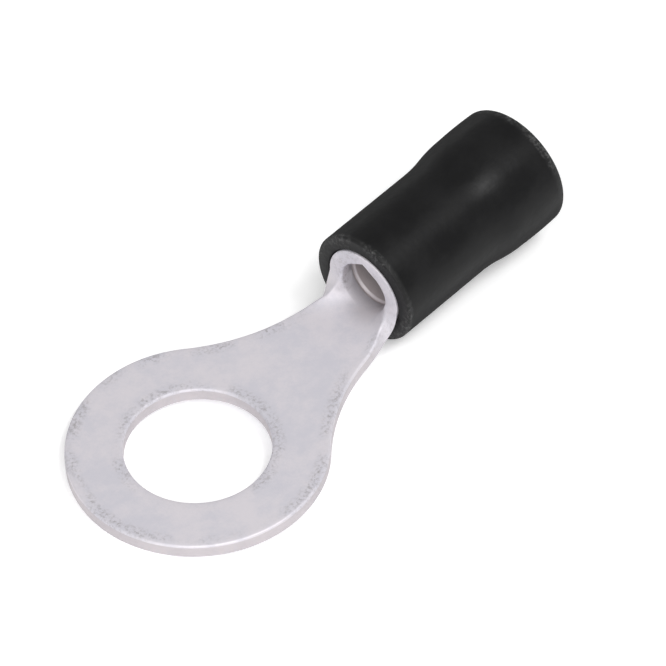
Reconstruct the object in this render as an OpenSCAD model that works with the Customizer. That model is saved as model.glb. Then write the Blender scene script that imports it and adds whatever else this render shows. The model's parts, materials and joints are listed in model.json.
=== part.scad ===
// Insulated ring terminal for an M8 stud and 4 to 6 mm2 wire.
// The metal is one stamping of tinned copper strip: a flat ring and neck, then a blank that is
// curled up and rolled into a barrel with a brazed seam on top. A flared vinyl sleeve is pushed
// over the barrel. The origin is the centre of the stud hole on the underside of the ring, +X runs
// from the ring to the wire and +Z points up through the hole.

/* [Ring] */
// Diameter of the stud hole
stud_hole_d = 8.4; // [6.4:0.1:10.6]
// Outside diameter of the ring
ring_d = 15; // [12.5:0.5:18]
// Thickness of the flattened ring and neck
tongue_t = 0.85; // [0.7:0.05:1.05]
// Radius of the edges that blanking rolls over, on the upper side
edge_r = 0.15; // [0.1:0.05:0.2]

/* [Neck] */
// Length of the neck, from the end of its fillets to the mouth of the barrel
neck_l = 3.2; // [2.6:0.1:4.2]
// Width of the neck at its narrowest, where the wings of the blank begin
neck_w = 4.8; // [4:0.1:5.6]
// Inward slope of each side of the neck in degrees
neck_taper = 11.5; // [9:0.5:14]
// Radius of the fillets between the ring and the neck
neck_fillet_r = 12.6; // [10:0.2:15.2]
// Radius of the fillets between the neck and the wings
root_r = 1; // [0.8:0.05:1.2]
// How late along the neck the strip curls up: higher is later
curl_power = 3; // [2:0.1:4]

/* [Barrel] */
// Diameter of the bore
bore_d = 3.3; // [2.75:0.05:4]
// Thickness of the rolled wall
barrel_wall = 0.95; // [0.8:0.05:1.15]
// Length of the barrel
barrel_l = 6.8; // [5.6:0.1:8.2]
// Number of serration grooves round the bore
groove_count = 3; // [1:1:4]
// Distance from each end of the barrel to the nearest groove
groove_inset = 1; // [0.6:0.05:1.2]
// Width of a groove at the bore
groove_w = 0.3; // [0.2:0.05:0.4]
// Depth of a groove
groove_depth = 0.12; // [0.08:0.02:0.2]
// Depth of the pointed channel under the seam
seam_in = 0.32; // [0.22:0.02:0.42]
// Half of the angle round the bore that the channel takes
seam_in_a = 28; // [16:1:28]
// Depth of the shallow channel that the braze leaves outside
seam_out = 0.1; // [0.05:0.05:0.2]

/* [Sleeve] */
// How far the front of the sleeve lies behind the mouth
sleeve_setback = 0.03; // [0:0.01:0.3]
// Wall thickness over the barrel
sleeve_wall = 0.94; // [0.75:0.01:1.2]
// Radial clearance between barrel and sleeve
sleeve_gap = 0.02; // [0.01:0.01:0.05]
// Length of the sleeve beyond the end of the barrel
entry_l = 6.4; // [5.4:0.1:8]
// Length of the slope from the barrel part to the flare
slope_l = 3.3; // [2.4:0.1:4.2]
// How far the flare stands out from the barrel part, at its two ends
flare_out = 0.31; // [0.2:0.01:0.5]
// How far the middle of the flare stands out
flare_crown = 0.035; // [0.01:0.005:0.06]
// Wall thickness of the flare at its two ends
flare_wall = 0.82; // [0.65:0.01:1]
// Height of the lip that stops the barrel
lip_h = 0.6; // [0.4:0.05:0.8]
// Length of the lip
lip_l = 0.45; // [0.3:0.05:0.8]
// Length of the funnel that leads the wire into the lip
funnel_l = 2.2; // [1.6:0.1:2.8]
// Rounding of the front edge
front_r = 0.15; // [0.1:0.05:0.3]
// Lead-in inside the front edge
lead_in = 0.1; // [0.05:0.05:0.3]
// Rounding of the rear edge, outside
rear_r = 0.38; // [0.2:0.02:0.4]
// Rounding of the rear edge, inside
rear_in_r = 0.2; // [0.1:0.02:0.24]

/* [Hidden] */
$fn = 96;

hole_r = stud_hole_d / 2;
ring_r = ring_d / 2;
bore_r = bore_d / 2;
barrel_r = bore_r + barrel_wall;
axis_z = tongue_t + bore_r;

// The fillet's centre lies at its radius from both the ring and the neck's side, and the two touch
// at web_a. The web is drawn from web_start degrees past that line. The neck starts where the
// fillet ends, and the barrel's mouth is a neck's length further.
bend_half = neck_w / 2 + (neck_l - root_r) * tan(neck_taper);
fillet_y = bend_half + neck_fillet_r * cos(neck_taper);
fillet_x = sqrt(pow(ring_r + neck_fillet_r, 2) - pow(fillet_y, 2));
web_a = atan2(fillet_y, fillet_x);
web_start = 1.2;
bend_x = fillet_x - neck_fillet_r * sin(neck_taper);
mouth_x = bend_x + neck_l;
root_x = mouth_x - root_r;
barrel_end = mouth_x + barrel_l;

// Sleeve radii, and stations measured from the sleeve's front.
seat_r = barrel_r + sleeve_gap;
sleeve_r = seat_r + sleeve_wall;
flare_r = sleeve_r + flare_out;
entry_r = flare_r - flare_wall;
lip_r = barrel_r - lip_h;
sleeve_x = mouth_x + sleeve_setback;
seat_l = barrel_end - sleeve_x;
sleeve_l = seat_l + entry_l;

// Steps that the rolled-over edge and the curled strip are drawn with.
edge_steps = 3;
curl_steps = 20;
bend_steps = 12;
root_steps = 8;
// Steps that the sleeve's slope, its crown and its rounded edges are drawn with.
slope_steps = 14;
crown_steps = 8;
round_steps = 6;
// The curled strip runs into the barrel this far inside both faces of its wall.
join_inset = 0.01;
eps = 0.01;

// Corner of the blank as [inwards, down] pairs, from its upright side to its upper face.
function rolled_corner(r) =
    [for (i = [0:edge_steps]) let (a = 90 * i / edge_steps) [r * (1 - cos(a)), r * (1 - sin(a))]];

// Half-width of the flat blank at a station along the neck.
function blank_half(x) =
    let (side = neck_w / 2 + (root_x - min(x, root_x)) * tan(neck_taper),
         into_root = max(0, x - root_x))
    side + root_r - sqrt(max(0, root_r * root_r - into_root * into_root));

// Share of the barrel's own curvature that the strip has at a station: 0 is flat, 1 is rolled.
function curl(x) = pow(max(0, min(1, (x - bend_x) / (mouth_x - bend_x))), curl_power);

// A point of the strip, at an arc length from the middle and a height above its underside.
function curled(x, along, up) =
    let (share = curl(x),
         inset = join_inset * share,
         wall = tongue_t + (barrel_wall - tongue_t) * share - 2 * inset)
    share < 0.0001
        ? [x, along, up]
        : let (top_r = bore_r / share + inset,
               a = along / (top_r + wall / 2) * 180 / PI,
               r = top_r + wall * (1 - up / tongue_t))
          [x, r * sin(a), tongue_t - inset + top_r - r * cos(a)];

// Outline of the strip's section at a station, as [along, up] pairs on the flat blank.
function strip_section(x) =
    let (half = blank_half(x),
         edge = edge_r * sqrt(max(0, 1 - pow(max(0, x - root_x) / root_r, 2))),
         corner = rolled_corner(edge))
    concat(
        [for (i = [0:curl_steps]) [half * (2 * i / curl_steps - 1), 0]],
        [for (c = corner) [half - c[0], tongue_t - c[1]]],
        [for (i = [1:curl_steps - 1]) [(half - edge) * (1 - 2 * i / curl_steps), tongue_t]],
        [for (i = [edge_steps:-1:0]) [corner[i][0] - half, tongue_t - corner[i][1]]]);

// A closed skin through sections that have the same number of points.
module skin(rings) {
    n = len(rings[0]);
    m = len(rings);
    polyhedron(
        points = [for (r = rings) each r],
        faces = concat(
            [for (j = [0:m - 2], i = [0:n - 1]) let (k = (i + 1) % n)
                each [[j * n + i, (j + 1) * n + i, (j + 1) * n + k],
                      [j * n + i, (j + 1) * n + k, j * n + k]]],
            [for (t = cap(n)) t],
            [for (t = cap(n)) [for (i = [2:-1:0]) (m - 1) * n + t[i]]]));
}

// Triangles that close a strip section, paired across its thickness.
function cap(n) =
    let (low = curl_steps, top = curl_steps + 1 + edge_steps)
    concat(
        [for (i = [0:curl_steps - 1]) let (a = top + curl_steps - i, b = top + curl_steps - i - 1)
            each [[i, i + 1, b], [i, b, a]]],
        [for (i = [low + 1:top - 1]) [low, i, i + 1]],
        [for (i = [top + curl_steps:n - 2]) [0, i, i + 1]]);

module ring() {
    corner = rolled_corner(edge_r);
    rotate_extrude()
        polygon(concat(
            [[hole_r, 0], [ring_r, 0]],
            [for (c = corner) [ring_r - c[0], tongue_t - c[1]]],
            [for (i = [edge_steps:-1:0]) [hole_r + corner[i][0], tongue_t - corner[i][1]]]));
}

// One side of the web that widens the ring into the neck, with the same rolled edge. It starts
// a little past the line where ring and fillet touch, so that no two faces are tangent.
module web() {
    reach = ring_r + neck_fillet_r;
    inner = (hole_r + ring_r) / 2;
    start = [cos(web_a - web_start), sin(web_a - web_start)];
    far = ring_r + 1;
    intersection() {
        translate([fillet_x, fillet_y])
            rotate_extrude()
                polygon(concat(
                    [[reach, tongue_t], [reach, 0], [neck_fillet_r, 0]],
                    [for (c = rolled_corner(edge_r)) [neck_fillet_r + c[0], tongue_t - c[1]]]));
        translate([0, 0, -1])
            linear_extrude(tongue_t + 2)
                polygon([inner * start, far * start, [bend_x, far * start[1]], [bend_x, 0], [inner, 0]]);
    }
}

// The neck as it curls up from flat strip to the lower half of the barrel.
module curled_neck() {
    stations = concat(
        [for (i = [0:bend_steps - 1]) bend_x + (root_x - bend_x) * i / bend_steps],
        [for (i = [0:root_steps]) root_x + root_r * sin(90 * i / root_steps)]);
    skin([for (x = stations) [for (p = strip_section(x)) curled(x, p[0], p[1])]]);
}

// Turns a shape drawn in the XY plane and raised along Z to lie along the barrel.
module along_barrel(x) {
    translate([x, 0, axis_z]) rotate([90, 0, 90]) children();
}

// Section of the rolled barrel, with the seam at the top.
module barrel_section() {
    foot = bore_r * [sin(seam_in_a), cos(seam_in_a)];
    difference() {
        circle(barrel_r);
        circle(bore_r);
        // Inside, the rolled edges of the strip leave a pointed channel under the braze.
        polygon([[0, bore_r + seam_in], foot, [0, 0], [-foot[0], foot[1]]]);
        // Outside, the braze lies a little below the wall.
        translate([0, barrel_r - seam_out])
            polygon([[0, 0], [2 * seam_out, 2 * seam_out], [-2 * seam_out, 2 * seam_out]]);
    }
}

// One serration groove round the bore, at its own middle.
module groove() {
    rotate_extrude()
        polygon([[bore_r - eps, -groove_w / 2], [bore_r + groove_depth, -groove_w / 6],
                 [bore_r + groove_depth, groove_w / 6], [bore_r - eps, groove_w / 2]]);
}

module barrel() {
    groove_pitch = (barrel_l - 2 * groove_inset) / max(1, groove_count - 1);
    difference() {
        along_barrel(mouth_x) linear_extrude(barrel_l) barrel_section();
        for (i = [0:groove_count - 1])
            along_barrel(mouth_x + groove_inset + i * groove_pitch) groove();
    }
}

module terminal() {
    color([0.79, 0.78, 0.81])
        union() {
            ring();
            web();
            mirror([0, 1, 0]) web();
            curled_neck();
            barrel();
        }
}

// Quarter round as [inwards, back] pairs, from the side wall to the end face.
function quarter(r) =
    [for (i = [0:round_steps]) let (a = 90 * i / round_steps) [r * (1 - cos(a)), r * (1 - sin(a))]];

// Outside of the sleeve as [radius, distance from the front] pairs.
function sleeve_outside() =
    let (slope_end = seat_l + slope_l,
         crown_l = sleeve_l - rear_r - slope_end)
    concat(
        [for (i = [round_steps:-1:0]) let (q = quarter(front_r)[i]) [sleeve_r - q[0], q[1]]],
        [for (i = [0:slope_steps]) let (s = i / slope_steps)
            [sleeve_r + (flare_r - sleeve_r) * (1 - cos(180 * s)) / 2, seat_l + slope_l * s]],
        [for (i = [1:crown_steps - 1]) let (s = i / crown_steps)
            [flare_r + flare_crown * sin(180 * s), slope_end + crown_l * s]],
        [for (q = quarter(rear_r)) [flare_r - q[0], sleeve_l - q[1]]]);

// Inside of the sleeve, from the rear end to the front.
function sleeve_inside() =
    concat(
        [for (i = [round_steps:-1:0]) let (q = quarter(rear_in_r)[i]) [entry_r + q[0], sleeve_l - q[1]]],
        [[entry_r, seat_l + lip_l + funnel_l], [lip_r, seat_l + lip_l], [lip_r, seat_l],
         [seat_r, seat_l], [seat_r, lead_in], [seat_r + lead_in, 0]]);

module sleeve() {
    color([0.14, 0.14, 0.14])
        along_barrel(sleeve_x)
            rotate_extrude()
                polygon(concat(sleeve_outside(), sleeve_inside()));
}

terminal();
sleeve();
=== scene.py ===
# %% [markdown]
# # An insulated ring terminal
#
# A ring terminal is two pieces: one stamping of tinned copper strip, flat at the ring and rolled
# into a barrel at the other end, and a black vinyl sleeve pushed over that barrel. This notebook
# makes the metal in the order a press does: cut the flat blank, roll its edges over, then curl it.
#
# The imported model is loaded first. It is the fixed frame that everything here is measured from.

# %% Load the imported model
import json
import math

import bmesh
import bpy
from mathutils import Matrix, Vector


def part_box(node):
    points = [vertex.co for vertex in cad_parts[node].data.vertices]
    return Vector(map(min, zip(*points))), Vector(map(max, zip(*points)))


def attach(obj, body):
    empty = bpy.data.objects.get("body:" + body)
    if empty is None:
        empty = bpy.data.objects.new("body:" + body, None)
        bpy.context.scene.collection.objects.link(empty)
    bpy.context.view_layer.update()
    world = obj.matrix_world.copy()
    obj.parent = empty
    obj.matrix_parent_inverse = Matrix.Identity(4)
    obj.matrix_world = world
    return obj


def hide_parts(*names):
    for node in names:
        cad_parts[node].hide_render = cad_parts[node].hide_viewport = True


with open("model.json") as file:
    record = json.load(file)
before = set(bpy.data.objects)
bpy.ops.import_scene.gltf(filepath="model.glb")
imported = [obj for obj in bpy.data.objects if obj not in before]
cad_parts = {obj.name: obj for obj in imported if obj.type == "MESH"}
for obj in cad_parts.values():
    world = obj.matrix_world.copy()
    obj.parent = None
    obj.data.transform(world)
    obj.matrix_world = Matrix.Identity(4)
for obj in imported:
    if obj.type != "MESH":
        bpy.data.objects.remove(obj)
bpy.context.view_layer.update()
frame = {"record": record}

# %% [markdown]
# ## Sizes from the frame
#
# Blender works in metres, but a part as small as this is easier to think about in millimetres.
# So every piece is modelled in millimetres and shrunk to metres as its last step. The main sizes
# come from the record's mounts and from the boxes of the two nodes, so they can't drift apart
# from the imported model. TOUCH is how near two positions must be to count as
# the same. MERGE is a wider limit, for meshes that cutting, curling or spinning has changed.

# %% Driving sizes in millimetres
MM = 0.001
TOUCH = 1e-4
MERGE = 1e-3

mounts = {mount["name"]: mount for mount in frame["record"]["mounts"]}
hole_r = mounts["stud_hole"]["dims"]["r_mm"]
bore_r = mounts["wire_barrel"]["dims"]["r_mm"]
barrel_l = mounts["wire_barrel"]["dims"]["length_mm"]
axis_z = mounts["wire_barrel"]["pos_m"][2] / MM
entry_r = mounts["wire_entry"]["dims"]["r_mm"]

metal_low, metal_high = (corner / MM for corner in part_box("terminal"))
sleeve_low, sleeve_high = (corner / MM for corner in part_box("sleeve"))
ring_r = -metal_low.x
barrel_r = axis_z - metal_low.z
barrel_end = metal_high.x
mouth_x = barrel_end - barrel_l
tongue_t = axis_z - bore_r
barrel_wall = barrel_r - bore_r
print(f"ring {ring_r:.2f}, strip {tongue_t:.2f} thick")
print(f"barrel {barrel_r:.2f} from {mouth_x:.2f} to {barrel_end:.2f}")

# %% [markdown]
# ## The outline of the blank
#
# The blank is the shape the metal has before it is bent: a ring, a neck that narrows, and a wide
# tab that will become the barrel. An outline like this could be drawn as a curve and filled, but a
# bmesh keeps every later step in one place. Straight stretches are an extruded vertex and round
# ones are a vertex spun about the arc's centre. Only one half is drawn, because the other half is
# its mirror image, and that also keeps the hole from needing a face with a hole in it.

# %% Two pens, one for lines and one for arcs
def line_to(bm, start, x, y):
    """A straight edge from a vertex to a point of the sheet."""
    end = bmesh.ops.extrude_vert_indiv(bm, verts=[start])["verts"][0]
    end.co = (x, y, 0)
    return end


def arc_about(bm, start, centre, degrees, steps):
    """A round edge: the vertex is spun about a centre, positive degrees anticlockwise."""
    made = bmesh.ops.spin(bm, geom=[start], cent=(*centre, 0), axis=(0, 0, 1),
                          angle=math.radians(degrees), steps=steps)
    return made["geom_last"][0]


# %% The neck's own sizes
neck_l = 3.2
neck_half = 2.4
neck_taper = 11.5
fillet_r = 12.6
root_r = 1.0
ring_steps = 120
fillet_steps = 40
root_steps = 16

bend_x = mouth_x - neck_l
root_x = mouth_x - root_r
taper = math.radians(neck_taper)
bend_half = neck_half + (root_x - bend_x) * math.tan(taper)
fillet_centre = Vector((bend_x + fillet_r * math.sin(taper),
                        bend_half + fillet_r * math.cos(taper)))
web_angle = math.degrees(math.atan2(fillet_centre.y, fillet_centre.x))
tab_half = math.pi * (bore_r + barrel_wall / 2)
print(f"neck from {bend_x:.2f}, fillet meets the ring at {web_angle:.1f} degrees")
print(f"tab {2 * tab_half:.2f} wide")


# %% Draw one half and fill it
def half_blank():
    """One half of the blank as a single flat face, from the ring's tip to the end of the tab."""
    bm = bmesh.new()
    tip = bm.verts.new((-ring_r, 0, 0))
    pen = arc_about(bm, tip, (0, 0), web_angle - 180, ring_steps)
    pen = arc_about(bm, pen, fillet_centre, 90 - neck_taper - web_angle, fillet_steps)
    pen = line_to(bm, pen, root_x, neck_half)
    pen = arc_about(bm, pen, (root_x, neck_half + root_r), 90, root_steps)
    pen = line_to(bm, pen, mouth_x, tab_half)
    pen = line_to(bm, pen, barrel_end, tab_half)
    pen = line_to(bm, pen, barrel_end, 0)
    pen = line_to(bm, pen, hole_r, 0)
    pen = arc_about(bm, pen, (0, 0), 180, ring_steps)
    bm.edges.new((pen, tip))
    bmesh.ops.contextual_create(bm, geom=bm.edges[:])
    bmesh.ops.recalc_face_normals(bm, faces=bm.faces)
    if bm.faces[:][0].normal.z < 0:
        bmesh.ops.reverse_faces(bm, faces=bm.faces)
    return bm


blank = half_blank()
print("half blank:", len(blank.verts), "vertices,", round(blank.faces[:][0].calc_area(), 1), "mm2")

# %% [markdown]
# ## Thickness and rolled edges
#
# A punch drags the sheet down before it cuts, so the upper edges of a stamping are round and the
# lower ones are nearly sharp. That round edge is what catches the light all the way round a real
# terminal. A Bevel modifier could make both at the end, but it would also round the seam and the
# line that the two halves share, so the edges are picked and bevelled here while all is flat.

# %% Give the blank its thickness
upper_edge_r = 0.15
lower_edge_r = 0.05
upper_edge_steps = 4
lower_edge_steps = 2


def on_middle(item):
    """True for an edge or face that lies in the plane the two halves share."""
    return all(abs(v.co.y) < TOUCH for v in item.verts)


def on_seam(item):
    """True for an edge or face on the tab's long side, which meets its twin at the seam."""
    return all(v.co.y > tab_half - TOUCH and v.co.x > mouth_x - TOUCH for v in item.verts)


def thicken(bm):
    """Extrudes the flat face by the strip's thickness and opens the two sides that get joined."""
    top = bmesh.ops.extrude_face_region(bm, geom=bm.faces[:], use_keep_orig=True)
    bmesh.ops.translate(bm, verts=[v for v in top["geom"] if isinstance(v, bmesh.types.BMVert)],
                        vec=(0, 0, tongue_t))
    bmesh.ops.recalc_face_normals(bm, faces=bm.faces)
    hidden = [f for f in bm.faces if on_middle(f) or on_seam(f)]
    bmesh.ops.delete(bm, geom=hidden, context="FACES_ONLY")


def roll_edges(bm, height, radius, steps):
    """Bevels the outline's edges at one height."""
    edges = [e for e in bm.edges if not e.is_boundary
             and all(abs(v.co.z - height) < TOUCH for v in e.verts)]
    bmesh.ops.bevel(bm, geom=edges, offset=radius, offset_type="OFFSET", segments=steps,
                    profile=0.5, affect="EDGES", material=-1, clamp_overlap=True)


thicken(blank)
roll_edges(blank, tongue_t, upper_edge_r, upper_edge_steps)
roll_edges(blank, 0, lower_edge_r, lower_edge_steps)
print("with rolled edges:", len(blank.faces), "faces")

# %% [markdown]
# ## Marking the rim
#
# Plated parts are tumbled in a drum, and knocks leave marks close to every edge. The material has
# to know where the edges are. Reading it from the shading angle would only find the last fraction
# of a millimetre, so the two flat faces are inset twice instead. The line between the two bands
# gets a 'rim' value of 1, the rolled edges and the walls get about half of that, and the material
# can read it as an attribute. A second value, 'cut', marks the walls that the punch cut through,
# because those are a little redder than the plated faces. It is kept low at the mouth and the
# root walls, which is painted light: those faces look lighter where they face the lamps.

# %% Inset the flat faces and mark rims and cut walls
rim_bands = ((0.22, 1.0), (0.5, 0.0))
rim_on_roll = 0.6
rim_on_wall = 0.5
copper_at_lit_mouth = 0.3
copper_growth_from_lit_mouth = 0.35


def mark_rim(bm):
    """Adds the bands along both flat outlines, and stores 'rim' there and on the rolled edges."""
    rim = bm.verts.layers.float.new("rim")
    for vert in bm.verts:
        vert[rim] = rim_on_roll
    flats = sorted(bm.faces, key=lambda f: f.calc_area())[-2:]
    for width, value in rim_bands:
        bmesh.ops.inset_region(bm, faces=flats, thickness=width, use_even_offset=True,
                               use_boundary=False, use_interpolate=False)
        for vert in {v for f in flats for v in f.verts}:
            vert[rim] = value


def mark_copper_and_lit_mouth(bm):
    """'cut' is 1 on the punched walls and drops towards the mouth, painted light that makes the
    mouth faces lighter.
    """
    wall_top = tongue_t - upper_edge_r
    cut = bm.verts.layers.float.new("cut")
    rim = bm.verts.layers.float["rim"]
    for vert in bm.verts:
        if lower_edge_r - TOUCH < vert.co.z < wall_top + TOUCH:
            ahead = max(0.0, root_x - vert.co.x)
            # copper on the punched walls; the low value towards the mouth is painted light
            vert[cut] = min(1.0, copper_at_lit_mouth + copper_growth_from_lit_mouth * ahead)
            vert[rim] = rim_on_wall


mark_rim(blank)
mark_copper_and_lit_mouth(blank)
print("with rim bands:", len(blank.faces), "faces")

# %% [markdown]
# ## Cutting the sheet into stations
#
# A face can't bend inside, so the part of the sheet that will be curled is cut into small pieces
# first. Subdividing would follow the odd shape of the face. Slicing with planes gives straight rows
# across the neck and straight columns along the barrel, just as fine as each stretch needs. The
# neck's rows crowd together towards the mouth, where it bends most. Extra rows stand at the
# serration grooves, so that each groove has its own edges.

# %% Where the rows and columns go
neck_rows = 26
crowding = 1.3
columns = 44
end_row_inset = 0.4
groove_inset = 1.0
groove_count = 3
groove_w = 0.3
groove_depth = 0.12
groove_flank = groove_w / 3
groove_cuts = (-0.5, -0.33, -0.17, 0.17, 0.33, 0.5, 0.62)

groove_pitch = (barrel_l - 2 * groove_inset) / (groove_count - 1)
groove_xs = [mouth_x + groove_inset + i * groove_pitch for i in range(groove_count)]
groove_rows = [x + groove_w * cut for x in groove_xs for cut in groove_cuts]
curl_rows = [bend_x + neck_l * (1 - (1 - i / neck_rows) ** crowding) for i in range(neck_rows + 1)]
rows = curl_rows + groove_rows + [barrel_end - end_row_inset]
print(len(rows), "rows and", columns, "columns; grooves at", [round(x, 2) for x in groove_xs])


# %% Slice the sheet
def beyond_bend(bm):
    """Everything from the bend onwards, which is the part that gets curled."""
    verts = [v for v in bm.verts if v.co.x > bend_x - MERGE]
    edges = [e for e in bm.edges if all(v.co.x > bend_x - MERGE for v in e.verts)]
    faces = [f for f in bm.faces if all(v.co.x > bend_x - MERGE for v in f.verts)]
    return verts + edges + faces


def slice_at(bm, geom, point, normal):
    """One straight cut through the given geometry."""
    bmesh.ops.bisect_plane(bm, geom=geom, dist=TOUCH, plane_co=point, plane_no=normal)


def slice_sheet(bm):
    """Cuts rows across the strip and columns along it, beyond the bend only."""
    slice_at(bm, bm.verts[:] + bm.edges[:] + bm.faces[:], (bend_x, 0, 0), (1, 0, 0))
    for x in rows[1:]:
        slice_at(bm, beyond_bend(bm), (x, 0, 0), (1, 0, 0))
    for i in range(1, columns):
        slice_at(bm, beyond_bend(bm), (0, tab_half * i / columns, 0), (0, 1, 0))


slice_sheet(blank)
print("sliced:", len(blank.faces), "faces")

# %% [markdown]
# ## Rolling the barrel
#
# The neck stays flat near the ring and reaches the barrel's own curve at the mouth. Between the
# two its curvature grows slowly at first and then fast, so each station of the strip is laid on a
# circle whose radius shrinks towards the mouth. The two edges of the tab were never bent right to
# their ends, which leaves a pointed channel under the brazed seam: there the inside follows a
# straight line instead of the circle. Moving the vertices by this rule keeps the width of the
# strip true, where an Armature or a Simple Deform modifier would stretch it. The same step stores
# how much shade is painted on each place inside: darker and browner deeper in the bore and in the
# grooves, where less light reaches.

# %% The shape that each station is laid on
curl_power = 3
least_share = 1e-6
seam_depth = 0.32
seam_half_angle = math.radians(28)
seam_slope = math.atan((bore_r + seam_depth - bore_r * math.cos(seam_half_angle))
                       / (bore_r * math.sin(seam_half_angle)))


def groove_at(x):
    """How deep the serrations cut into the bore at a station."""
    nearest = min(abs(x - g) for g in groove_xs)
    return groove_depth * max(0.0, min(1.0, (groove_w / 2 - nearest) / groove_flank))


def inner_radius(x, angle):
    """Inside radius of the finished barrel at an angle from its lowest line."""
    from_seam = math.pi - abs(angle)
    plain = bore_r
    if from_seam < seam_half_angle:
        plain = (bore_r + seam_depth) * math.cos(seam_slope) / math.cos(from_seam - seam_slope)
    return max(plain, bore_r + groove_at(x))


def curl(co):
    """Where a point of the flat sheet goes when the strip is curled."""
    share = max(0.0, min(1.0, (co.x - bend_x) / neck_l)) ** curl_power
    if share < least_share:
        return co
    wall = tongue_t + (barrel_wall - tongue_t) * share
    circle_r = bore_r / share
    angle = co.y / (circle_r + wall / 2)
    inside = circle_r
    if co.x > mouth_x - TOUCH:
        inside = inner_radius(co.x, angle)
    depth = 1 - co.z / tongue_t
    radius = inside + (circle_r + wall - inside) * depth
    return Vector((co.x, radius * math.sin(angle), tongue_t + circle_r - radius * math.cos(angle)))


print(f"the seam channel's walls slope {math.degrees(seam_slope):.1f} degrees")


# %% How much shade is painted on each place inside
lip_reach = 0.55
groove_back_shade = 0.55
bore_shade = 0.8
most_mouth_shade = 0.25


def painted_shade_at(x):
    """How much shade is painted inside: a little that grows towards the first groove, more in the
    grooves and behind the first.
    """
    if any(g < x < g + lip_reach * groove_w for g in groove_xs):
        return groove_back_shade
    if x < groove_xs[0]:
        mouth_shade = most_mouth_shade * max(0.0, min(1.0, (x - root_x) / (groove_xs[0] - root_x)))
        return max(mouth_shade, groove_at(x) / groove_depth)
    return bore_shade


# the values printed are the painted shade at the mouth and at the barrel's far end
print(f"stain at the mouth {painted_shade_at(mouth_x):.2f}, at the far end {painted_shade_at(barrel_end):.2f}")


# %% Roll it and add the other half
def to_object(bm, name):
    """Shrinks a finished bmesh to metres and makes it a smooth-shaded object at the origin."""
    bmesh.ops.scale(bm, vec=(MM, MM, MM), verts=bm.verts)
    for face in bm.faces:
        face.smooth = True
    mesh = bpy.data.meshes.new(name)
    bm.to_mesh(mesh)
    bm.free()
    piece = bpy.data.objects.new(name, mesh)
    bpy.context.scene.collection.objects.link(piece)
    return piece


# this attribute holds painted shade: darker deeper in the bore and in the grooves
painted_shade = blank.verts.layers.float.new("painted_shade")
for vert in blank.verts:
    if vert.co.z > tongue_t - MERGE:
        vert[painted_shade] = painted_shade_at(vert.co.x)
    vert.co = curl(vert.co)
bmesh.ops.mirror(blank, geom=blank.verts[:] + blank.edges[:] + blank.faces[:],
                 matrix=Matrix.Identity(4), axis="Y", merge_dist=MERGE)
bmesh.ops.remove_doubles(blank, verts=blank.verts, dist=MERGE)
bmesh.ops.recalc_face_normals(blank, faces=blank.faces)
open_edges = sum(1 for e in blank.edges if not e.is_manifold)
metal = to_object(blank, "terminal_stamping")
print("stamping:", len(metal.data.polygons), "faces,", open_edges, "open edges")

# %% [markdown]
# ## Clean shading on the stamping
#
# The large flat faces of the ring sit next to very narrow bevel faces. With plain smooth shading
# the light would seem to bend across the flat. A Weighted Normal modifier lets the larger faces
# decide, so flats stay flat and the narrow rolled edge takes up the whole turn.

# %% Weighted normals
weighted = metal.modifiers.new("flat_faces_lead", "WEIGHTED_NORMAL")
weighted.mode = "FACE_AREA"
weighted.weight = 60
weighted.keep_sharp = True
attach(metal, "root")
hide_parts("terminal")
print("modifiers:", [m.name for m in metal.modifiers])

# %% [markdown]
# ## The vinyl sleeve
#
# The sleeve is a moulded tube: the same section all the way round. It slides over the barrel, has
# a lip inside that stops against the barrel's end, and flares out to take the wire's insulation.
# A Screw modifier or a curve with bevel would also turn a profile. Spinning it here, with the
# profile drawn by the same two pens as the blank, leaves a plain mesh with nothing live on it.

# %% The sleeve's own sizes
sleeve_front = sleeve_low.x
sleeve_end = sleeve_high.x
sleeve_gap = 0.02
sleeve_wall = 0.94
flare_wall = 0.82
slope_l = 3.3
lip_h = 0.6
lip_l = 0.45
funnel_l = 2.2
front_edge_r = 0.15
lead_in = 0.1
wear_l = 0.4
rear_edge_r = 0.38
rear_inner_r = 0.2

seat_r = barrel_r + sleeve_gap
sleeve_r = seat_r + sleeve_wall
flare_r = entry_r + flare_wall
crown = (sleeve_high.y - sleeve_low.y) / 2 - flare_r
lip_r = barrel_r - lip_h
print(f"sleeve {2 * sleeve_r:.2f} across, {2 * (flare_r + crown):.2f} at the flare")


# %% Draw the profile
edge_steps = 6
slope_steps = 8
crown_steps = 8
rear_steps = 8
inner_steps = 5


def s_curve(bm, pen, run, rise, steps):
    """Two equal arcs that lead smoothly from one level to another."""
    radius = (run ** 2 + rise ** 2) / (4 * rise)
    turn = math.degrees(2 * math.atan(rise / run))
    pen = arc_about(bm, pen, (pen.co.x, pen.co.y + radius), turn, steps)
    return arc_about(bm, pen, (pen.co.x + run / 2, pen.co.y + rise / 2 - radius), -turn, steps)


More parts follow.
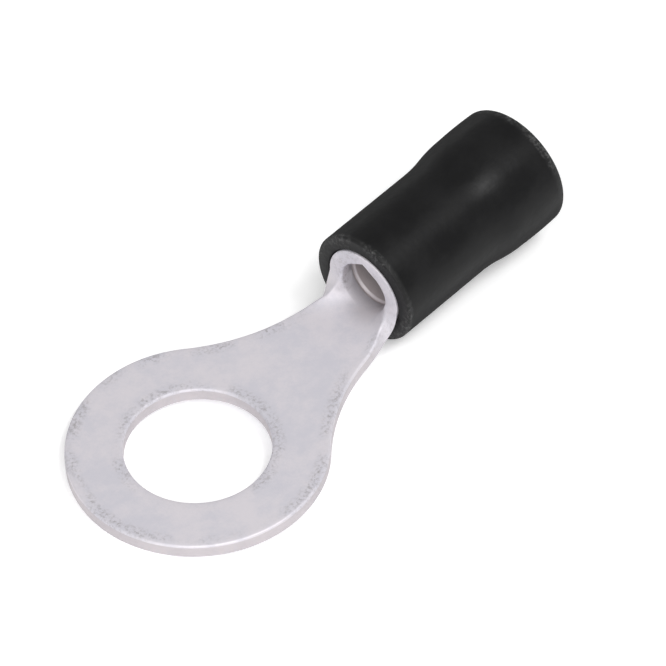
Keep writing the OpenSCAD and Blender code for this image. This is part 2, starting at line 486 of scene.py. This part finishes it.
def sleeve_profile():
    """The closed section of the sleeve, with the barrel's axis along X at Y = 0."""
    bm = bmesh.new()
    first = bm.verts.new((sleeve_front, seat_r + lead_in, 0))
    pen = line_to(bm, first, sleeve_front, sleeve_r - front_edge_r)
    front_centre = (sleeve_front + front_edge_r, sleeve_r - front_edge_r)
    pen = arc_about(bm, pen, front_centre, -90, edge_steps)
    pen = line_to(bm, pen, sleeve_front + wear_l, sleeve_r)
    pen = line_to(bm, pen, barrel_end, sleeve_r)
    pen = s_curve(bm, pen, slope_l, flare_r - sleeve_r, slope_steps)
    crown_l = sleeve_end - rear_edge_r - barrel_end - slope_l
    crown_r = (crown_l ** 2 / 4 + crown ** 2) / (2 * crown)
    crown_turn = 2 * math.degrees(math.asin(crown_l / 2 / crown_r))
    crown_centre = (pen.co.x + crown_l / 2, flare_r + crown - crown_r)
    pen = arc_about(bm, pen, crown_centre, -crown_turn, crown_steps)
    rear_centre = (sleeve_end - rear_edge_r, flare_r - rear_edge_r)
    pen = arc_about(bm, pen, rear_centre, -90, rear_steps)
    pen = line_to(bm, pen, sleeve_end, entry_r + rear_inner_r)
    inner_centre = (sleeve_end - rear_inner_r, entry_r + rear_inner_r)
    pen = arc_about(bm, pen, inner_centre, -90, inner_steps)
    pen = line_to(bm, pen, barrel_end + lip_l + funnel_l, entry_r)
    pen = line_to(bm, pen, barrel_end + lip_l, lip_r)
    pen = line_to(bm, pen, barrel_end, lip_r)
    pen = line_to(bm, pen, barrel_end, seat_r)
    pen = line_to(bm, pen, sleeve_front + lead_in, seat_r)
    bm.edges.new((pen, first))
    return bm


tube = sleeve_profile()
print("profile:", len(tube.verts), "points")

# %% Spin it and mark its two ends
turn_steps = 160
sharp_from = math.radians(30)
rim_depth = 0.2
end_margin = 0.01

bmesh.ops.spin(tube, geom=tube.verts[:] + tube.edges[:], cent=(0, 0, 0), axis=(1, 0, 0),
               angle=math.tau, steps=turn_steps, use_merge=True)
bmesh.ops.translate(tube, verts=tube.verts, vec=(0, 0, axis_z))
bmesh.ops.remove_doubles(tube, verts=tube.verts, dist=TOUCH)
bmesh.ops.recalc_face_normals(tube, faces=tube.faces)
for edge in tube.edges:
    edge.smooth = edge.calc_face_angle(0) < sharp_from
# 'rim' marks both rounded ends, where a painted highlight and pale scuff specks go
end_highlight_and_scuff_layer = tube.verts.layers.float.new("rim")
for vert in tube.verts:
    outwards = math.hypot(vert.co.y, vert.co.z - axis_z)
    at_front = vert.co.x < sleeve_front + front_edge_r + MERGE and outwards > sleeve_r - rim_depth
    at_rear = vert.co.x > sleeve_end - rear_edge_r - end_margin and outwards > flare_r - rear_edge_r
    vert[end_highlight_and_scuff_layer] = 1.0 if at_front or at_rear else 0.0
sleeve = to_object(tube, "vinyl_sleeve")
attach(sleeve, "root")
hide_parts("sleeve")
print("sleeve:", len(sleeve.data.polygons), "faces")

# %% [markdown]
# ## A finish that both materials share
#
# Neither tin nor vinyl is one even colour. Both have broad patches, small marks and a fine grain,
# only in different sizes and strengths. That could be built twice, once in each material. A node
# group does it once: it takes sizes and colours in, and gives colour, roughness and height out.

# %% Small helper for node trees
def node(tree, kind, inputs, **settings):
    """Adds a node; an input given as a socket is linked, anything else is its constant."""
    made = tree.nodes.new("ShaderNode" + kind)
    for name, value in settings.items():
        setattr(made, name, value)
    for name, value in inputs.items():
        if isinstance(value, bpy.types.NodeSocket):
            tree.links.new(value, made.inputs[name])
        else:
            made.inputs[name].default_value = value
    return made


def remap(tree, value, low, high, to_low=0.0, to_high=1.0):
    """Smoothly stretches a value between two limits."""
    limits = {"From Min": low, "From Max": high, "To Min": to_low, "To Max": to_high}
    made = node(tree, "MapRange", {"Value": value, **limits}, interpolation_type="SMOOTHSTEP")
    return made.outputs["Result"]


def blend(tree, share, first, second):
    """Mixes two colours."""
    return node(tree, "Mix", {0: share, 6: first, 7: second}, data_type="RGBA").outputs[2]


def noise(tree, place, scale, detail, roughness=0.5):
    """Noise between 0 and 1 with features of about 1 / scale metres."""
    sizes = {"Scale": scale, "Detail": detail, "Roughness": roughness}
    return node(tree, "TexNoise", {"Vector": place, **sizes}).outputs["Fac"]


# %% Build the group
even_share = 0.5
mark_depth = 0.6


def finish_group():
    """Patches, marks and grain as one reusable group."""
    group = bpy.data.node_groups.new("uneven_finish", "ShaderNodeTree")
    for name, kind in (("Colour", "Color"), ("Patch Colour", "Color"), ("Mark Colour", "Color"),
                       ("Marks", "Float"), ("Patch Scale", "Float"), ("Mark Scale", "Float"),
                       ("Grain Scale", "Float"), ("Smoothest", "Float"), ("Roughest", "Float")):
        group.interface.new_socket(name=name, in_out="INPUT", socket_type="NodeSocket" + kind)
    for name, kind in (("Colour", "Color"), ("Roughness", "Float"), ("Height", "Float")):
        group.interface.new_socket(name=name, in_out="OUTPUT", socket_type="NodeSocket" + kind)
    given = group.nodes.new("NodeGroupInput").outputs
    place = group.nodes.new("ShaderNodeTexCoord").outputs["Object"]
    cloudy = noise(group, place, given["Patch Scale"], detail=7, roughness=0.7)
    patches = remap(group, cloudy, low=0.36, high=0.64)
    speckled = noise(group, place, given["Mark Scale"], detail=5, roughness=0.7)
    spots = remap(group, speckled, low=0.44, high=0.68)
    broad = noise(group, place, given["Patch Scale"], detail=1)
    clusters = remap(group, broad, low=0.42, high=0.6, to_low=0.1)
    reach = node(group, "Math", {0: given["Marks"], 1: clusters}, operation="MULTIPLY").outputs[0]
    marks = node(group, "Math", {0: spots, 1: reach}, operation="MULTIPLY").outputs[0]
    grain = noise(group, place, given["Grain Scale"], detail=3)
    patched = blend(group, patches, given["Colour"], given["Patch Colour"])
    coloured = blend(group, marks, patched, given["Mark Colour"])
    both = node(group, "Math", {0: grain, 1: patches, 2: even_share}, operation="MULTIPLY_ADD")
    rough = node(group, "MapRange", {"Value": both.outputs[0], "From Min": 0.4, "From Max": 1.0,
                                     "To Min": given["Smoothest"], "To Max": given["Roughest"]})
    height = node(group, "Math", {0: marks, 1: -mark_depth, 2: grain}, operation="MULTIPLY_ADD")
    out = group.nodes.new("NodeGroupOutput")
    group.links.new(coloured, out.inputs["Colour"])
    group.links.new(rough.outputs["Result"], out.inputs["Roughness"])
    group.links.new(height.outputs[0], out.inputs["Height"])
    return group


uneven_finish = finish_group()
print("group", uneven_finish.name, "with", len(uneven_finish.nodes), "nodes")


# %% Put the group into a material
def finished_material(name, bump, depth, **values):
    """A material whose colour, roughness and bump come from the group."""
    material = bpy.data.materials.new(name)
    material.use_nodes = True
    tree = material.node_tree
    near_edge = node(tree, "Attribute", {}, attribute_name="rim").outputs["Fac"]
    look = node(tree, "Group", {}, node_tree=uneven_finish)
    tree.links.new(near_edge, look.inputs["Marks"])
    for socket, value in values.items():
        look.inputs[socket.replace("_", " ")].default_value = value
    shader = tree.nodes["Principled BSDF"]
    relief = {"Height": look.outputs["Height"], "Strength": bump, "Distance": depth}
    bumped = node(tree, "Bump", relief)
    tree.links.new(look.outputs["Colour"], shader.inputs["Base Color"])
    tree.links.new(look.outputs["Roughness"], shader.inputs["Roughness"])
    tree.links.new(bumped.outputs["Normal"], shader.inputs["Normal"])
    return material, shader, look


# %% [markdown]
# ## Satin tin
#
# Barrel-plated tin is pale and satin, never mirror bright, with faint warm and cool patches and
# dark knocks along the rims. A plain metal with noise on its roughness would give the patches but
# not the knocks, which need the rim value stored on the mesh. Two more values do the rest: the
# walls the punch cut show a little of the copper, with less of it at the mouth, which is painted
# light there, and the bore gets a darker, browner tone than the outside, which is painted shade.
# Tin this matt scatters much of the light, so the shader is only partly metallic.

# %% Tin over copper
copper_tint = (0.49, 0.45, 0.465, 1)
# darker, browner colour painted inside the barrel as shade
bore_shade_tint = (0.52, 0.46, 0.455, 1)

tin, tin_shader, tin_look = finished_material(
    "satin_tin", bump=0.25, depth=0.00002,
    Colour=(0.735, 0.7, 0.74, 1), Patch_Colour=(0.635, 0.62, 0.675, 1),
    Mark_Colour=(0.38, 0.36, 0.37, 1), Patch_Scale=350, Mark_Scale=5000, Grain_Scale=9000,
    Smoothest=0.48, Roughest=0.62)
tin_tree = tin.node_tree
# 'cut' is real copper on the walls plus painted light: less copper, so lighter, at the mouth
copper_and_lit_mouth = node(tin_tree, "Attribute", {}, attribute_name="cut").outputs["Fac"]
# painted shade: the bore's colour is mixed in where less light reaches
painted_shade_share = node(tin_tree, "Attribute", {}, attribute_name="painted_shade").outputs["Fac"]
copper_share_and_lit_mouth = remap(tin_tree, copper_and_lit_mouth, low=0.1, high=0.9, to_high=0.75)
coppery_with_lit_mouth = blend(tin_tree, copper_share_and_lit_mouth, tin_look.outputs["Colour"], copper_tint)
shaded_colour = blend(tin_tree, painted_shade_share, coppery_with_lit_mouth, bore_shade_tint)
tin_tree.links.new(shaded_colour, tin_shader.inputs["Base Color"])
tin_shader.inputs["Metallic"].default_value = 0.3
metal.data.materials.append(tin)
print("tin:", len(tin_tree.nodes), "nodes")

# %% [markdown]
# ## Black vinyl
#
# Soft vinyl comes out of its mould with a fine matte skin, slightly wavy because it shrinks as it
# cools. Its rounded ends catch the light, and that is painted on: along both ends the colour is
# paler, a painted highlight, with pale specks that are partly scuffs and partly painted glints.
# The same group is used with darker colours and larger waves. The skin reflects less than most
# plastics, so the specular level is low. Its fine texture also hides the bright rim that a smooth
# one shows seen edge on, so it is made rougher there.

# %% Vinyl
# paler tone painted along both ends as the highlight on their rounded edges
painted_end_highlight_tint = (0.05, 0.05, 0.05, 1)

# the pale marks near the ends are partly scuffs and partly painted glints
vinyl, vinyl_shader, vinyl_look = finished_material(
    "black_vinyl", bump=0.35, depth=0.00004,
    Colour=(0.0095, 0.0095, 0.0099, 1), Patch_Colour=(0.0125, 0.0125, 0.0129, 1),
    Mark_Colour=(0.11, 0.11, 0.11, 1), Patch_Scale=300, Mark_Scale=3600, Grain_Scale=2200,
    Smoothest=0.28, Roughest=0.45)
vinyl_tree = vinyl.node_tree
end_highlight_and_scuffs = node(vinyl_tree, "Attribute", {}, attribute_name="rim").outputs["Fac"]
# painted highlight: the ends are mixed towards the paler tone
painted_end_highlight = remap(vinyl_tree, end_highlight_and_scuffs, low=0.1, high=0.9, to_high=0.22)
end_highlighted_colour = blend(vinyl_tree, painted_end_highlight, vinyl_look.outputs["Colour"], painted_end_highlight_tint)
vinyl_tree.links.new(end_highlighted_colour, vinyl_shader.inputs["Base Color"])
facing = node(vinyl_tree, "LayerWeight", {"Blend": 0.5}).outputs["Facing"]
skin_rough = vinyl_look.outputs["Roughness"]
matt = remap(vinyl_tree, facing, low=0.4, high=0.85, to_low=skin_rough, to_high=0.8)
vinyl_tree.links.new(matt, vinyl_shader.inputs["Roughness"])
vinyl_shader.inputs["Specular IOR Level"].default_value = 0.12
sleeve.data.materials.append(vinyl)
print("vinyl:", len(vinyl_tree.nodes), "nodes")

# %% [markdown]
# ## The floor
#
# A terminal doesn't lie flat. Its weight is between the ring's tip and the front edge of the
# sleeve, so it rests on those two, with the flare just clear. The model must not move, so the floor
# is tilted instead, about the tip, until it touches the sleeve's rounded edge. The floor glows a
# little, which keeps its shade pale without washing out the contact.

# %% Floor that the terminal rests on
def resting_tilt():
    """How far the plane through the ring's tip drops to touch the sleeve's rounded front edge."""
    along = sleeve_front + front_edge_r + ring_r
    below = sleeve_r - front_edge_r - axis_z
    return math.atan2(below, along) + math.asin(front_edge_r / math.hypot(along, below))


def tilted_plane(size, turn, shift):
    """A square plane, turned about the Y axis and then shifted."""
    bm = bmesh.new()
    bmesh.ops.create_grid(bm, x_segments=1, y_segments=1, size=size)
    bmesh.ops.rotate(bm, verts=bm.verts, cent=(0, 0, 0), matrix=Matrix.Rotation(turn, 3, "Y"))
    bmesh.ops.translate(bm, verts=bm.verts, vec=shift)
    mesh = bpy.data.meshes.new("floor")
    bm.to_mesh(mesh)
    bm.free()
    return mesh


floor_half = 0.6
floor_mesh = tilted_plane(floor_half, resting_tilt(), (-ring_r * MM, 0, 0))
floor = bpy.data.objects.new("floor", floor_mesh)
bpy.context.scene.collection.objects.link(floor)
print(f"floor tilted {math.degrees(resting_tilt()):.2f} degrees")

# %% Paint for the floor
white = bpy.data.materials.new("white_floor")
white.use_nodes = True
paint = white.node_tree.nodes["Principled BSDF"].inputs
paint["Base Color"].default_value = (0.9, 0.9, 0.9, 1)
paint["Roughness"].default_value = 0.9
paint["Specular IOR Level"].default_value = 0.1
paint["Emission Color"].default_value = (1, 1, 1, 1)
paint["Emission Strength"].default_value = 0.27
floor_mesh.materials.append(white)
print("floor paint:", white.name)

# %% [markdown]
# ## Light
#
# Small plated parts are best lit softly, or they turn into a patchwork of glints. So the
# surroundings are an even white and the lamps are soft boxes. The strongest stands behind the
# camera and reaches into the barrel's mouth. A large one to the right adds to the flat faces' tone,
# a small one beside it draws the highlight down the sleeve, and a weak one on the left picks out
# the front edges.

# %% Even surroundings
world = bpy.data.worlds.new("studio")
bpy.context.scene.world = world
world.use_nodes = True
world.node_tree.nodes["Background"].inputs["Color"].default_value = (1, 1, 1, 1)
world.node_tree.nodes["Background"].inputs["Strength"].default_value = 0.35
print("surroundings:", world.name)


# %% Soft boxes
def softbox(name, place, aim, size, power):
    """A rectangular area light that faces the point it is aimed at."""
    lamp = bpy.data.lights.new(name, "AREA")
    lamp.shape = "RECTANGLE"
    lamp.size, lamp.size_y = size
    lamp.energy = power
    box = bpy.data.objects.new(name, lamp)
    bpy.context.scene.collection.objects.link(box)
    box.location = place
    box.rotation_euler = (Vector(aim) - Vector(place)).to_track_quat("-Z", "Y").to_euler()
    return box


softbox("key", (0.12, -0.20, 0.40), (0.015, 0, 0.002), (0.4, 0.2), 0.38)
softbox("accent", (0.09, -0.20, 0.39), (0.022, 0, 0.004), (0.12, 0.12), 0.47)
softbox("front_fill", (-0.22, -0.21, 0.36), (0.01, 0, 0), (0.34, 0.34), 1.15)
softbox("left_fill", (-0.36, -0.10, 0.20), (0.01, 0, 0), (0.2, 0.2), 0.2)

# %% [markdown]
# ## Camera
#
# A long lens from about a third of a metre keeps the ring and the sleeve in nearly the same scale.
# Three angles turn the camera: where it heads, how far it looks down and how it is rolled. A Track
# To constraint would set the first two and leave out the roll.

# %% Camera
look_at = Vector((0.01185, 0.0006, 0))
distance = 0.327
heading = 45.45
downward = 47.38
roll = -2.64

attitude = (Matrix.Rotation(math.radians(-heading), 3, "Z")
            @ Matrix.Rotation(math.radians(90 - downward), 3, "X")
            @ Matrix.Rotation(math.radians(roll), 3, "Z"))
camera = bpy.data.objects.new("camera", bpy.data.cameras.new("camera"))
bpy.context.scene.collection.objects.link(camera)
camera.data.lens = 308.56
camera.data.clip_end = 10
camera.location = look_at + attitude @ Vector((0, 0, distance))
camera.rotation_euler = attitude.to_euler()
bpy.context.scene.camera = camera
bpy.context.scene.view_settings.view_transform = "Standard"
print("camera at", [round(c, 4) for c in camera.location], "lens", camera.data.lens)
